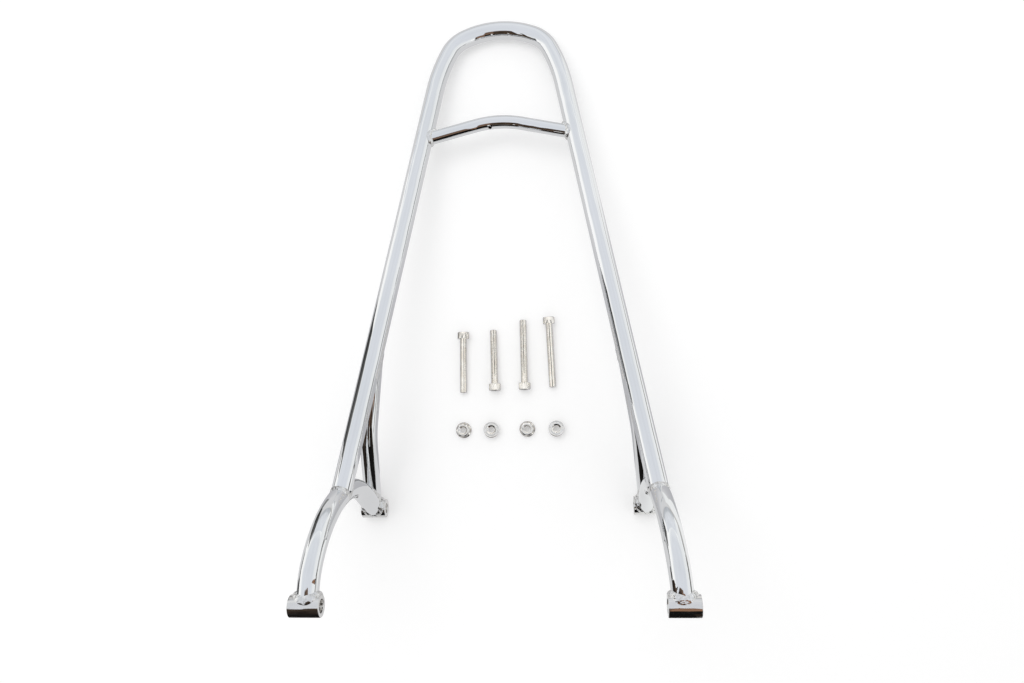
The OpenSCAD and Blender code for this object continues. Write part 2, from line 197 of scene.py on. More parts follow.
def extrudeRing(bm, ring):
    made = bmesh.ops.extrude_edge_only(bm, edges=ringEdges(ring))
    fresh = {g for g in made["geom"] if isinstance(g, bmesh.types.BMVert)}
    return [next(e.other_vert(v) for e in v.link_edges if e.other_vert(v) in fresh) for v in ring]


def runStraight(bm, ring, shift):
    ring = extrudeRing(bm, ring)
    bmesh.ops.translate(bm, verts=ring, vec=shift)
    return ring


def runBend(bm, ring, centre, axis, angle, steps):
    geom = list(ring) + ringEdges(ring)
    made = bmesh.ops.spin(bm, geom=geom, cent=centre, axis=axis, dvec=(0, 0, 0), angle=angle,
                          steps=steps, use_merge=False, use_duplicate=False)
    return [g for g in made["geom_last"] if isinstance(g, bmesh.types.BMVert)]


def closeRing(bm, ring):
    bmesh.ops.edgeloop_fill(bm, edges=ringEdges(ring))


def finishPiece(bm, name, node, material, sharp=pieceSettings["sharp"], flip=False):
    if flip:
        bmesh.ops.scale(bm, vec=(-1, 1, 1), verts=bm.verts)
    bmesh.ops.remove_doubles(bm, verts=bm.verts, dist=pieceSettings["mergeDistance"])
    bmesh.ops.recalc_face_normals(bm, faces=bm.faces)
    for face in bm.faces:
        face.smooth = True
    mesh = bpy.data.meshes.new(name)
    bm.to_mesh(mesh)
    bm.free()
    mesh.set_sharp_from_angle(angle=rad(sharp))
    mesh.materials.append(material)
    piece = bpy.data.objects.new(name, mesh)
    bpy.context.collection.objects.link(piece)
    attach(piece, "root")
    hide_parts(node)
    return piece


# materials, each with blotches in its colour and roughness over a broad and a fine waviness

noiseSettings = {
    "from": (0.3, 0.7), "detail": 2.0, "roughDetail": 4.0, "waveDetail": 1.0, "fineDetail": 3.0,
}


def nodeTree(name):
    material = bpy.data.materials.new(name)
    material.use_nodes = True
    tree = material.node_tree
    return material, tree, tree.nodes["Principled BSDF"]


def addNode(tree, kind, inputs=None, **values):
    node = tree.nodes.new(kind)
    for key, value in values.items():
        setattr(node, key, value)
    for key, value in (inputs or {}).items():
        node.inputs[key].default_value = value
    return node


def noiseValue(tree, scale, detail=noiseSettings["detail"], low=0.0, high=1.0):
    least, most = noiseSettings["from"]
    coords = addNode(tree, "ShaderNodeTexCoord")
    texture = addNode(tree, "ShaderNodeTexNoise", {"Scale": scale, "Detail": detail})
    ranged = addNode(tree, "ShaderNodeMapRange",
                     {"From Min": least, "From Max": most, "To Min": low, "To Max": high})
    tree.links.new(coords.outputs["Object"], texture.inputs["Vector"])
    tree.links.new(texture.outputs["Fac"], ranged.inputs["Value"])
    return ranged.outputs["Result"]


def mixColours(tree, factor, first, second):
    mix = addNode(tree, "ShaderNodeMix", data_type="RGBA")
    mix.inputs["A"].default_value = (*first, 1)
    mix.inputs["B"].default_value = (*second, 1)
    tree.links.new(factor, mix.inputs["Factor"])
    return mix.outputs["Result"]


def addBump(tree, look, kind):
    height = noiseValue(tree, look[kind + "Scale"], noiseSettings[kind + "Detail"])
    bump = addNode(tree, "ShaderNodeBump",
                   {"Strength": look[kind + "Strength"], "Distance": look[kind + "Depth"]})
    tree.links.new(height, bump.inputs["Height"])
    return bump


def metalMaterial(name, look):
    material, tree, shader = nodeTree(name)
    shader.inputs["Metallic"].default_value = 1.0
    blotch = noiseValue(tree, look["blotchScale"])
    colour = mixColours(tree, blotch, look["colour"], look["blotch"])
    tree.links.new(colour, shader.inputs["Base Color"])
    rough = noiseValue(tree, look["roughScale"], noiseSettings["roughDetail"], *look["rough"])
    tree.links.new(rough, shader.inputs["Roughness"])
    waveBump = addBump(tree, look, "wave")
    fineBump = addBump(tree, look, "fine")
    tree.links.new(waveBump.outputs["Normal"], fineBump.inputs["Normal"])
    tree.links.new(fineBump.outputs["Normal"], shader.inputs["Normal"])
    return material


tubeLook = {
    "colour": (0.935, 0.94, 0.945), "blotch": (0.905, 0.915, 0.915), "blotchScale": 14.0,
    "roughScale": 45.0, "rough": (0.02, 0.06),
    "waveScale": 26.0, "waveStrength": 0.55, "waveDepth": 0.0009,
    "fineScale": 900.0, "fineStrength": 0.06, "fineDepth": 0.00005,
}
bushingLook = {
    "colour": (0.90, 0.89, 0.87), "blotch": (0.80, 0.79, 0.77), "blotchScale": 60.0,
    "roughScale": 120.0, "rough": (0.04, 0.12),
    "waveScale": 90.0, "waveStrength": 0.4, "waveDepth": 0.0002,
    "fineScale": 1500.0, "fineStrength": 0.15, "fineDepth": 0.00005,
}
weldLook = {
    "colour": (0.93, 0.93, 0.92), "blotch": (0.74, 0.73, 0.71), "blotchScale": 300.0,
    "roughScale": 300.0, "rough": (0.05, 0.16),
    "waveScale": 330.0, "waveStrength": 0.7, "waveDepth": 0.0007,
    "fineScale": 1500.0, "fineStrength": 0.3, "fineDepth": 0.0001,
}
steelLook = {
    "colour": (1.0, 0.98, 0.935), "blotch": (0.93, 0.89, 0.82), "blotchScale": 160.0,
    "roughScale": 500.0, "rough": (0.08, 0.18),
    "waveScale": 260.0, "waveStrength": 0.2, "waveDepth": 0.0001,
    "fineScale": 2600.0, "fineStrength": 0.15, "fineDepth": 0.00003,
}
# near-black metal for the vent hole's walls and floor: painted shade that stands in for the dark, unlit
# inside of the hollow crossbar
ventPaintedShadeLook = {
    "colour": (0.02, 0.02, 0.02), "blotch": (0.04, 0.035, 0.03), "blotchScale": 500.0,
    "roughScale": 500.0, "rough": (0.5, 0.8),
    "waveScale": 260.0, "waveStrength": 0.2, "waveDepth": 0.0001,
    "fineScale": 2600.0, "fineStrength": 0.25, "fineDepth": 0.00004,
}
tubeChrome = metalMaterial("tubeChrome", tubeLook)
bushingChrome = metalMaterial("bushingChrome", bushingLook)
weldChrome = metalMaterial("weldChrome", weldLook)
stainless = metalMaterial("stainless", steelLook)
ventPaintedShade = metalMaterial("ventPaintedShade", ventPaintedShadeLook)
print("materials made")


# tubes

tubeSettings = {"sides": 64, "degreesPerStep": 2.0, "fewestSteps": 4, "crossbarSteps": 72, "buried": 0.004}


def bendSteps(angle):
    wanted = round(abs(math.degrees(angle)) / tubeSettings["degreesPerStep"])
    return max(tubeSettings["fewestSteps"], wanted)


def makeHoop():
    bm = bmesh.new()
    legDirection = Vector((math.cos(neckEnd), -math.sin(neckEnd), 0))
    legLength = (legTarget - legStart).length - bar["tubeRadius"] + tubeSettings["buried"]
    foot = legStart + legLength * legDirection
    ring = openRing(bm, tubeSettings["sides"], bar["tubeRadius"], facing(foot, -legDirection))
    closeRing(bm, ring)
    ring = runStraight(bm, ring, -legLength * legDirection)
    neckAngle = neckEnd - rad(bar["shoulderEnd"])
    shoulderAngle = rad(bar["shoulderEnd"] - bar["crownHalfAngle"])
    crownAngle = rad(2 * bar["crownHalfAngle"])
    up = Vector((0, 0, 1))
    mirrored = Vector((-1, 1, 1))
    bends = [(neckCentre, neckAngle), (shoulderCentre, shoulderAngle), (crownCentre, crownAngle),
             (shoulderCentre * mirrored, shoulderAngle), (neckCentre * mirrored, neckAngle)]
    for centre, angle in bends:
        ring = runBend(bm, ring, centre, up, angle, bendSteps(angle))
    ring = runStraight(bm, ring, legLength * legDirection * mirrored)
    closeRing(bm, ring)
    bmesh.ops.transform(bm, matrix=hoopFrame, verts=bm.verts)
    finishPiece(bm, "hoopTube", "hoop_tube", tubeChrome)


ventSettings = {
    "radius": 0.0021, "offset": 0.0095, "turn": 8.0, "facing": 0.5,
    "rim": 0.0002, "taper": 0.0001, "depth": 0.005,
}


def drillVent(bm):
    # the faces inside the vent's circle become one round face, which is inset and pushed in
    turn = rad(ventSettings["turn"])
    out = Vector((0, -math.cos(turn), math.sin(turn)))
    side = Vector((0, math.sin(turn), math.cos(turn)))
    centre = Vector((-ventSettings["offset"], -bar["crossbarDrop"], 0)) + bar["crossbarRadius"] * out

    def fromAxis(point):
        return Vector((point.x - centre.x, (point - centre).dot(side)))

    inside = [f for f in bm.faces if f.normal.dot(out) > ventSettings["facing"]
              and fromAxis(f.calc_center_median()).length < ventSettings["radius"]]
    joined = bmesh.ops.dissolve_faces(bm, faces=inside, use_verts=True)["region"]
    for vert in joined[0].verts:
        reach = fromAxis(vert.co)
        shift = reach * (ventSettings["radius"] / reach.length - 1)
        vert.co += Vector((shift.x, 0, 0)) + shift.y * side
    bmesh.ops.inset_individual(bm, faces=joined, thickness=ventSettings["rim"], depth=-ventSettings["rim"])
    made = bmesh.ops.inset_individual(bm, faces=joined, thickness=ventSettings["taper"],
                                      depth=-ventSettings["depth"])
    # the pocket's faces take the second material, the vent's painted shade
    for face in made["faces"] + joined:
        face.material_index = 1


def makeCrossbar():
    bm = bmesh.new()
    slope = rad(bar["crossbarSlope"])
    arm = armEnd - armStart
    arm = arm.normalized() * (arm.length - bar["tubeRadius"] + tubeSettings["buried"])
    end = armStart + arm
    ring = openRing(bm, tubeSettings["sides"], bar["crossbarRadius"], facing(end, -arm))
    closeRing(bm, ring)
    ring = runStraight(bm, ring, -arm)
    centre = Vector((0, -bar["crossbarDrop"] - bar["crossbarBend"], 0))
    ring = runBend(bm, ring, centre, Vector((0, 0, 1)), 2 * slope, tubeSettings["crossbarSteps"])
    ring = runStraight(bm, ring, arm * Vector((-1, 1, 1)))
    closeRing(bm, ring)
    bmesh.ops.recalc_face_normals(bm, faces=bm.faces)
    drillVent(bm)
    bmesh.ops.transform(bm, matrix=hoopFrame, verts=bm.verts)
    piece = finishPiece(bm, "crossbarTube", "crossbar_tube", tubeChrome)
    # the second material slot holds the near-black painted shade inside the vent
    piece.data.materials.append(ventPaintedShade)


archEndSettings = {"dip": 0.0024, "length": 0.034}


def archDip(reach):
    # how far the arch's end sinks below its circle, with an even start and stop, close to the front bushing
    share = min(1.0, max(0.0, 1 - reach / archEndSettings["length"]))
    return archEndSettings["dip"] * share * share * (3 - 2 * share)


def makeArch(side):
    bm = bmesh.new()
    tail = Vector((math.sin(archStart), -math.cos(archStart), 0))
    buried = bar["bushingRadius"] - tubeSettings["buried"]
    hub = Vector((archCentre.x, archCentre.y, 0))
    bendStart = hub + archRadius * Vector((math.cos(archStart), math.sin(archStart), 0))
    foot = bendStart + tail * (bar["archTail"] - buried)
    ring = openRing(bm, tubeSettings["sides"], bar["tubeRadius"], facing(foot, -tail))
    closeRing(bm, ring)
    ring = runStraight(bm, ring, bendStart - foot)
    sweep = archSweep - buried / archRadius
    ring = runBend(bm, ring, hub, Vector((0, 0, 1)), sweep, bendSteps(sweep))
    closeRing(bm, ring)
    for vert in bm.verts:
        spoke = vert.co - hub
        reach = (archStart + archSweep - math.atan2(spoke.y, spoke.x)) * archRadius
        vert.co.y -= archDip(max(reach, 0.0))
    bmesh.ops.transform(bm, matrix=archFrame, verts=bm.verts)
    finishPiece(bm, side + "FootArch", side + "_foot_arch", tubeChrome, flip=side == "left")


def makeBrace(side):
    bm = bmesh.new()
    buried = bar["tubeRadius"] - tubeSettings["buried"]
    top = braceTop + braceUpper * buried
    ring = openRing(bm, tubeSettings["sides"], bar["braceRadius"], facing(top, braceUpper))
    closeRing(bm, ring)
    ring = runStraight(bm, ring, kneeStart - top)
    ring = runBend(bm, ring, kneeCentre, kneeNormal, kneeAngle, bendSteps(kneeAngle))
    kneeStop = braceKnee + kneeTangent * braceLower
    ring = runStraight(bm, ring, braceFoot - buried * braceLower - kneeStop)
    closeRing(bm, ring)
    finishPiece(bm, side + "Brace", side + "_brace", tubeChrome, flip=side == "left")


makeHoop()
makeCrossbar()
for side in ("left", "right"):
    makeArch(side)
    makeBrace(side)
print("tubes made")


# bushings

bushingSettings = {
    "front": {"place": frontPoint, "length": 0.0286, "bore": 0.0061},
    "rear": {"place": rearPoint, "length": 0.0265, "bore": 0.0052},
    "edge": 0.0006, "edgeSegments": 3, "sides": 96, "flatness": 1e-6,
}


def makeBushing(side, which):
    look = bushingSettings[which]
    half, flatness = look["length"] / 2, bushingSettings["flatness"]
    corners = [(-half, look["bore"]), (-half, bar["bushingRadius"]),
               (half, bar["bushingRadius"]), (half, look["bore"])]
    bm = bmesh.new()
    verts = [bm.verts.new((x, 0, radius)) for x, radius in corners]
    edges = [bm.edges.new((verts[i], verts[i - 1])) for i in range(4)]
    bmesh.ops.spin(bm, geom=verts + edges, cent=(0, 0, 0), axis=(1, 0, 0), angle=2 * math.pi,
                   steps=bushingSettings["sides"], use_merge=True)
    rims = [e for e in bm.edges if abs(e.verts[0].co.x - e.verts[1].co.x) < flatness
            and abs(e.verts[0].co.yz.length - e.verts[1].co.yz.length) < flatness]
    bmesh.ops.bevel(bm, geom=rims, offset=bushingSettings["edge"], segments=bushingSettings["edgeSegments"],
                    profile=0.5, affect="EDGES", material=-1)
    bmesh.ops.translate(bm, verts=bm.verts, vec=look["place"])
    finishPiece(bm, side + which.capitalize() + "Bushing", side + "_" + which + "_bushing",
                bushingChrome, flip=side == "left")


for side in ("left", "right"):
    makeBushing(side, "front")
    makeBushing(side, "rear")
print("bushings made")


# weld beads, each laid along the curve where two tubes meet

weldSettings = {
    "stations": 160, "faceSides": 12, "rootSides": 8, "crown": 0.0006, "buried": 0.0002, "root": 0.0012,
    "ripple": 0.35, "ripplePitch": 0.0026, "lump": 0.30, "lumpScale": 150.0, "crownLump": 3,
    "tableGap": 0.0002, "sharp": 60.0,
}
# how a line along a tube is followed to where it lands: start, end and steps, then finer measures
walkSettings = {
    "far": 0.03, "near": -0.004, "steps": 90, "halvings": 20,
    "slopeStep": 1e-5, "probe": 1e-4, "toeRounds": 2,
}


def lineGap(point, direction, radius):
    unit = direction.normalized()

    def gap(at):
        away = at - point
        return (away - away.dot(unit) * unit).length - radius

    return gap


def arcGap(centre, normal, bendRadius, radius):
    def gap(at):
        away = at - centre
        height = away.dot(normal)
        return math.hypot((away - height * normal).length - bendRadius, height) - radius

    return gap


def gapSlope(gap, at):
    step = walkSettings["slopeStep"]
    slope = Vector([gap(at + step * axis) - gap(at - step * axis)
                    for axis in (Vector((1, 0, 0)), Vector((0, 1, 0)), Vector((0, 0, 1)))])
    return slope.normalized()


def landing(gap, walk):
    # walks in along the tube until it meets what it lands on, or comes closest to it
    far, near, steps = walkSettings["far"], walkSettings["near"], walkSettings["steps"]
    best = (1.0, 0.0)
    previous = far
    for i in range(steps + 1):
        reach = far + (near - far) * i / steps
        value = gap(walk(reach))
        if value < 0:
            low, high = reach, previous
            for _ in range(walkSettings["halvings"]):
                middle = (low + high) / 2
                if gap(walk(middle)) < 0:
                    low = middle
                else:
                    high = middle
            return high
        best = min(best, (value, reach))
        previous = reach
    return best[1]


def weldStation(turn, tubeRadius, axisAt, mainGap):
    # where one line along the tube lands, and the way there
    def onTube(reach, at):
        centre, first, second = axisAt(reach)
        return centre + tubeRadius * (math.cos(at) * first + math.sin(at) * second)

    reach = landing(mainGap, lambda walked: onTube(walked, turn))
    centre, first, second = axisAt(reach)
    normal = math.cos(turn) * first + math.sin(turn) * second
    sideways = math.cos(turn) * second - math.sin(turn) * first
    along = (axisAt(reach + walkSettings["probe"])[0] - centre).normalized()
    return {"reach": reach, "turn": turn, "root": onTube(reach, turn), "normal": normal,
            "sideways": sideways, "along": along, "onTube": onTube}


def weldSection(station, ahead, toe, crown, tubeRadius, mainGap):
    # one fillet across the bead, from its toe on the tube to its toe on what the tube lands on,
    # and back inside; 4 * share * (1 - share) rises to 1 half-way
    root, own, turn = station["root"], station["normal"], station["turn"]
    uphill = own.cross(ahead).normalized()
    if uphill.dot(station["along"]) < 0:
        uphill.negate()
    main = gapSlope(mainGap, root)
    away = (main.dot(uphill) * own - main.dot(own) * uphill).normalized()
    middle = (uphill + away + own + main).normalized()
    tubeToe = station["onTube"](station["reach"] + toe * uphill.dot(station["along"]),
                                turn + toe * uphill.dot(station["sideways"]) / tubeRadius)
    mainToe = root + toe * away
    for _ in range(walkSettings["toeRounds"]):
        mainToe -= mainGap(mainToe) * gapSlope(mainGap, mainToe)
    tubeToe -= weldSettings["buried"] * own
    mainToe -= weldSettings["buried"] * main
    depth = ((tubeToe + mainToe) / 2 - root).dot(middle) + weldSettings["root"]
    points = []
    for k in range(weldSettings["faceSides"]):
        share = k / weldSettings["faceSides"]
        points.append(tubeToe.lerp(mainToe, share) + 4 * crown * share * (1 - share) * middle)
    for k in range(weldSettings["rootSides"]):
        share = k / weldSettings["rootSides"]
        points.append(mainToe.lerp(tubeToe, share) - 4 * depth * share * (1 - share) * middle)
    return points


def makeWeld(name, node, tubeRadius, axisAt, mainGap, toe, flip):
    count = weldSettings["stations"]
    stations = [weldStation(2 * math.pi * i / count, tubeRadius, axisAt, mainGap) for i in range(count)]
    bm = bmesh.new()
    ring = openRing(bm, weldSettings["faceSides"] + weldSettings["rootSides"], toe, Matrix.Identity(4))
    travelled = 0.0
    for i in range(count + 1):
        station = stations[i % count]
        root = station["root"]
        if 0 < i < count:
            travelled += (root - stations[i - 1]["root"]).length
        if i < count:
            lump = weldSettings["lump"] * noise.noise(root * weldSettings["lumpScale"])
            wave = math.sin(math.pi * travelled / weldSettings["ripplePitch"])
            ripple = weldSettings["ripple"] * abs(wave)
            ahead = stations[(i + 1) % count]["root"] - stations[i - 1]["root"]
            crown = weldSettings["crown"] * (1 + weldSettings["crownLump"] * lump + ripple)
            points = weldSection(station, ahead, toe * (1 + lump), crown, tubeRadius, mainGap)
            if i == 0:
                firstPoints = points
        else:
            points = firstPoints
        if i:
            ring = extrudeRing(bm, ring)
        for vert, point in zip(ring, points):
            vert.co = point
            vert.co.z = max(vert.co.z, weldSettings["tableGap"])
    finishPiece(bm, name, node, weldChrome, sharp=weldSettings["sharp"], flip=flip)


def straightAxis(point, direction):
    direction = direction.normalized()
    first = direction.orthogonal().normalized()
    second = direction.cross(first)
    return lambda reach: (point + reach * direction, first, second)


def archEndAxis(reach):
    # the arch's centreline, followed back from the front bushing
    turn = archStart + archSweep - reach / archRadius
    spoke = math.cos(turn) * archAlong + math.sin(turn) * archUp
    return archHub + archRadius * spoke - archDip(max(reach, 0.0)) * archUp, spoke, archNormal


def inHoop(point):
    return hoopFrame @ point


legTop = inHoop(legStart)
legFoot = inHoop(legTarget)
tubeR = bar["tubeRadius"]
bendFoot = archHub + archRadius * (math.cos(archStart) * archAlong + math.sin(archStart) * archUp)
legGap = lineGap(legTop, legFoot - legTop, tubeR)
archGap = arcGap(archHub, archNormal, archRadius, tubeR)
tailGap = lineGap(rearPoint, bendFoot - rearPoint, tubeR)
rearGap = lineGap(rearPoint, Vector((1, 0, 0)), bar["bushingRadius"])
frontGap = lineGap(frontPoint, Vector((1, 0, 0)), bar["bushingRadius"])


def rearCornerGap(at):
    return min(rearGap(at), tailGap(at))


weldList = {
    "crossbarWeld": ("crossbar_weld", bar["crossbarRadius"],
                     straightAxis(inHoop(armEnd), inHoop(armStart) - inHoop(armEnd)), legGap, 0.0028),
    "legWeld": ("leg_weld", tubeR, straightAxis(legFoot, legTop - legFoot), archGap, 0.0030),
    "braceTopWeld": ("brace_top_weld", bar["braceRadius"],
                     straightAxis(braceTop, braceUpper), legGap, 0.0030),
    "braceFootWeld": ("brace_foot_weld", bar["braceRadius"],
                      straightAxis(braceFoot, -braceLower), rearCornerGap, 0.0032),
    "frontBushingWeld": ("front_bushing_weld", tubeR, archEndAxis, frontGap, 0.0036),
    "rearBushingWeld": ("rear_bushing_weld", tubeR, straightAxis(rearPoint, bendFoot - rearPoint),
                        rearGap, 0.0032),
}
for side in ("left", "right"):
    for name, (node, radius, axisAt, gap, toe) in weldList.items():
        pieceName = side + name[0].upper() + name[1:]
        makeWeld(pieceName, side + "_" + node, radius, axisAt, gap, toe, side == "left")
print("welds made")


# cap screws and flange nuts

threadShape = {"crest": 0.17, "base": 0.44}
screwSettings = {
    "headRadius": 0.0065, "headHeight": 0.008, "shankRadius": 0.004, "bevel": 0.001,
    "socket": 0.003, "socketDepth": 0.004, "socketLip": 0.0004, "socketRim": 0.0037,
    # steps round the head's two ends: how far in from its radius, and how far from that end
    "faceSteps": ((0.0010, 0.0), (0.0006, 0.00012), (0.0002, 0.0006)),
    "shoulderSteps": ((0.0003, 0.0002), (0.0008, 0.0)),
    "knurl": 0.00016, "knurlStart": 0.0010, "knurlStop": 0.0006,
    # steps where the shank leaves the head: how far out from the core, and how far from the head
    "neckRadius": 0.0046, "neckSteps": ((0.0002, 0.0003), (0.0, 0.0007)),
    "tipInset": 0.0006, "tipBevel": 0.0008, "tipTrim": 0.0007, "tipSlope": 0.0004, "tipClear": 0.00002,
    "coreRadius": 0.00370, "threadRadius": 0.00398, "threadSink": 0.00006, "pitch": 0.00125,
    "threadStart": 0.0003, "threadStop": 0.0004, "threadSteps": 20, "sides": 120, "sharp": 28.0,
    # node, sideways place, place back from the rear bushings, turn and length under the head
    "places": {
        "shortScrew1": ("short_screw_1", -0.0472, 0.1927, -90.9, 0.060),
        "shortScrew2": ("short_screw_2", -0.0128, 0.1261, 90.8, 0.060),
        "longScrew1": ("long_screw_1", 0.0202, 0.1264, 90.4, 0.070),
        "longScrew2": ("long_screw_2", 0.0484, 0.2065, -88.0, 0.070),
    },
}


def hexRadius(flat, turn):
    sixth = math.pi / 3
    return flat / math.cos((turn % sixth) - sixth / 2)


def latheRings(bm, sides, rings):
    # each ring is pulled out of the one before; a radius may change round the axis
    ring = openRing(bm, sides, 1.0, Matrix.Identity(4))
    turns = [math.atan2(v.co.y, v.co.x) for v in ring]
    made = []
    for i, (radius, height) in enumerate(rings):
        if i:
            ring = extrudeRing(bm, ring)
        for k, vert in enumerate(ring):
            size = radius(turns[k], k) if callable(radius) else radius
            vert.co = (size * math.cos(turns[k]), size * math.sin(turns[k]), height)
        made.append(ring)
    return made


def addThread(bm, base, crest, start, stop, pitch, steps):
    foot, top = threadShape["base"], threadShape["crest"]
    profile = [(base, -foot), (crest, -top), (crest, top), (base, foot)]
    verts = [bm.verts.new((radius, 0, start + share * pitch)) for radius, share in profile]
    edges = [bm.edges.new((verts[i], verts[i - 1])) for i in range(4)]
    before = set(bm.verts) - set(verts)
    turns = (stop - start) / pitch
    made = bmesh.ops.spin(bm, geom=verts + edges, cent=(0, 0, 0), axis=(0, 0, 1),
                          dvec=(0, 0, pitch / steps), angle=2 * math.pi * turns,
                          steps=round(steps * turns), use_merge=False)
    last = [g for g in made["geom_last"] if isinstance(g, bmesh.types.BMVert)]
    bmesh.ops.contextual_create(bm, geom=verts)
    bmesh.ops.contextual_create(bm, geom=last)
    return [v for v in bm.verts if v not in before]


def makeScrew(name):
    node, x, back, turn, length = screwSettings["places"][name]
    s = screwSettings
    head, high, core = s["headRadius"], s["headHeight"], s["coreRadius"]
    tip = high + length

    def knurled(turnAt, k):
        return head - s["knurl"] * (k % 2)

    def socket(turnAt, k):
        return hexRadius(s["socket"], turnAt)

    rings = [(socket, s["socketDepth"]), (socket, s["socketLip"]), (s["socketRim"], 0.0)]
    rings += [(head - inset, rise) for inset, rise in s["faceSteps"]]
    rings += [(knurled, s["knurlStart"]), (knurled, high - s["knurlStop"])]
    rings += [(head - inset, high - drop) for inset, drop in s["shoulderSteps"]]
    rings += [(s["neckRadius"], high)]
    rings += [(core + outset, high + rise) for outset, rise in s["neckSteps"]]
    rings += [(core, tip - s["tipBevel"]), (core - s["tipInset"], tip)]
    bm = bmesh.new()
    made = latheRings(bm, s["sides"], rings)
    closeRing(bm, made[0])
    closeRing(bm, made[-1])
    thread = addThread(bm, core - s["threadSink"], s["threadRadius"], high - s["threadStart"],
                       tip - s["threadStop"], s["pitch"], s["threadSteps"])
    for vert in thread:
        reach = vert.co.xy.length
        most = max(core - s["tipTrim"], core - s["tipSlope"] + (tip - vert.co.z))
        if reach > most:
            vert.co.x *= most / reach
            vert.co.y *= most / reach
        vert.co.z = min(vert.co.z, tip - s["tipClear"])
    tilt = math.atan((head - s["shankRadius"]) / (length - s["bevel"]))
    lift = head * math.cos(tilt) + high * math.sin(tilt)
    place = Matrix.Translation((x, back - bar["rowShift"], 0)) @ Matrix.Rotation(rad(turn), 4, "Z") \
        @ Matrix.Translation((0, 0, lift)) @ Matrix.Rotation(math.pi / 2 + tilt, 4, "Y")
    bmesh.ops.transform(bm, matrix=place, verts=bm.verts)
    finishPiece(bm, name, node, stainless, sharp=s["sharp"])


nutSettings = {
    "flange": 0.00875, "rim": 0.0012, "flat": 0.0065, "height": 0.008, "bore": 0.0040,
    "lowerSink": 0.0010, "upperSink": 0.0008, "sinkDepth": 0.0008,
    # the top's bevel over the six flats, and the flange's slope up to them
    "topEdge": 0.0005, "topSlope": 1.7, "topDrops": (0.00015, 0.0003, 0.0005, 0.0007, 0.0010),
    "flangeRises": (0.0026, 0.0020, 0.0017, 0.0014, 0.0011, 0.0007, 0.0003, 0.0001),
    # steps round the flange's edge and over its bearing face: distance in or out, and height
    "rimEdge": 0.0002,
    "edgeSteps": ((0.0, 0.0004), (0.0001, 0.0001), (0.0004, 0.0), (0.0012, 0.0), (0.0014, 0.00014)),
    "faceSteps": ((0.0024, 0.00014), (0.0022, 0.0), (0.0010, 0.0)),
    "threadRadius": 0.0034, "threadSink": 0.0001, "threadInset": 0.0009, "threadSteps": 24,
    "sides": 96, "sharp": 28.0, "back": 0.0834,
    # node, sideways place and whether the flange is up
    "places": {
        "flangeNut1": ("flange_nut_1", -0.0492, False),
        "flangeNut2": ("flange_nut_2", -0.0176, True),
        "flangeNut3": ("flange_nut_3", 0.0217, False),
        "flangeNut4": ("flange_nut_4", 0.0541, True),
    },
}


def makeNut(name):
    node, x, upturned = nutSettings["places"][name]
    s = nutSettings
    bore, flange, flat, high = s["bore"], s["flange"], s["flat"], s["height"]

    def trimmed(limit):
        return lambda turn, k: min(hexRadius(flat, turn), limit)

    def swelled(limit):
        return lambda turn, k: max(hexRadius(flat, turn), limit)

    rings = [(bore + s["lowerSink"], 0.0), (bore, s["sinkDepth"]), (bore, high - s["sinkDepth"]),
             (bore + s["upperSink"], high), (flat - s["topEdge"], high)]
    rings += [(trimmed(flat - s["topEdge"] + s["topSlope"] * drop), high - drop) for drop in s["topDrops"]]
    rings += [(swelled(flange - rise), s["rim"] + rise) for rise in s["flangeRises"]]
    rings += [(flange, s["rim"] - s["rimEdge"])]
    rings += [(flange - inset, rise) for inset, rise in s["edgeSteps"]]
    rings += [(bore + outset, rise) for outset, rise in s["faceSteps"]]
    bm = bmesh.new()
    latheRings(bm, s["sides"], rings)
    addThread(bm, bore + s["threadSink"], s["threadRadius"], s["threadInset"], high - s["threadInset"],
              screwSettings["pitch"], s["threadSteps"])
    if upturned:
        over = Matrix.Rotation(math.pi, 3, "X")
        bmesh.ops.rotate(bm, verts=bm.verts, cent=(0, 0, high / 2), matrix=over)
    bmesh.ops.translate(bm, verts=bm.verts, vec=(x, s["back"] - bar["rowShift"], 0))
    finishPiece(bm, name, node, stainless, sharp=s["sharp"])


for name in screwSettings["places"]:
    makeScrew(name)
for name in nutSettings["places"]:
    makeNut(name)
print("fasteners made")


# floor, surroundings and light

floorSettings = {"size": 60.0, "drop": 0.0006, "colour": (0.86, 0.86, 0.86), "rough": 0.9, "lift": 0.20}


def emissionMaterial(name, stops, axis, low, high, grain):
    # a glow that runs through the stops from low to high along one axis of the stage, or outwards;
    # new stops all start half-way and are then put in place in order
    material, tree, shader = nodeTree(name)
    tree.nodes.remove(shader)
    coords = addNode(tree, "ShaderNodeTexCoord")
    ranged = addNode(tree, "ShaderNodeMapRange", {"From Min": low, "From Max": high})
    if axis == "R":
        reach = addNode(tree, "ShaderNodeVectorMath", operation="LENGTH")
        tree.links.new(coords.outputs["Object"], reach.inputs[0])
        tree.links.new(reach.outputs["Value"], ranged.inputs["Value"])
    else:
        split = addNode(tree, "ShaderNodeSeparateXYZ")
        tree.links.new(coords.outputs["Object"], split.inputs["Vector"])
        tree.links.new(split.outputs[axis], ranged.inputs["Value"])
    ramp = addNode(tree, "ShaderNodeValToRGB")
    glow = addNode(tree, "ShaderNodeEmission")
    elements = ramp.color_ramp.elements
    while len(elements) < len(stops):
        elements.new(0.5)
    for element, (place, colour) in zip(elements, stops):
        element.position = place
        element.color = (*colour, 1)
    tree.links.new(ranged.outputs["Result"], ramp.inputs["Fac"])
    tree.links.new(ramp.outputs["Color"], glow.inputs["Color"])
    if grain:
        scale, least, most = grain
        strength = noiseValue(tree, scale, noiseSettings["fineDetail"], least, most)
        tree.links.new(strength, glow.inputs["Strength"])
    tree.links.new(glow.outputs["Emission"], tree.nodes["Material Output"].inputs["Surface"])
    return material


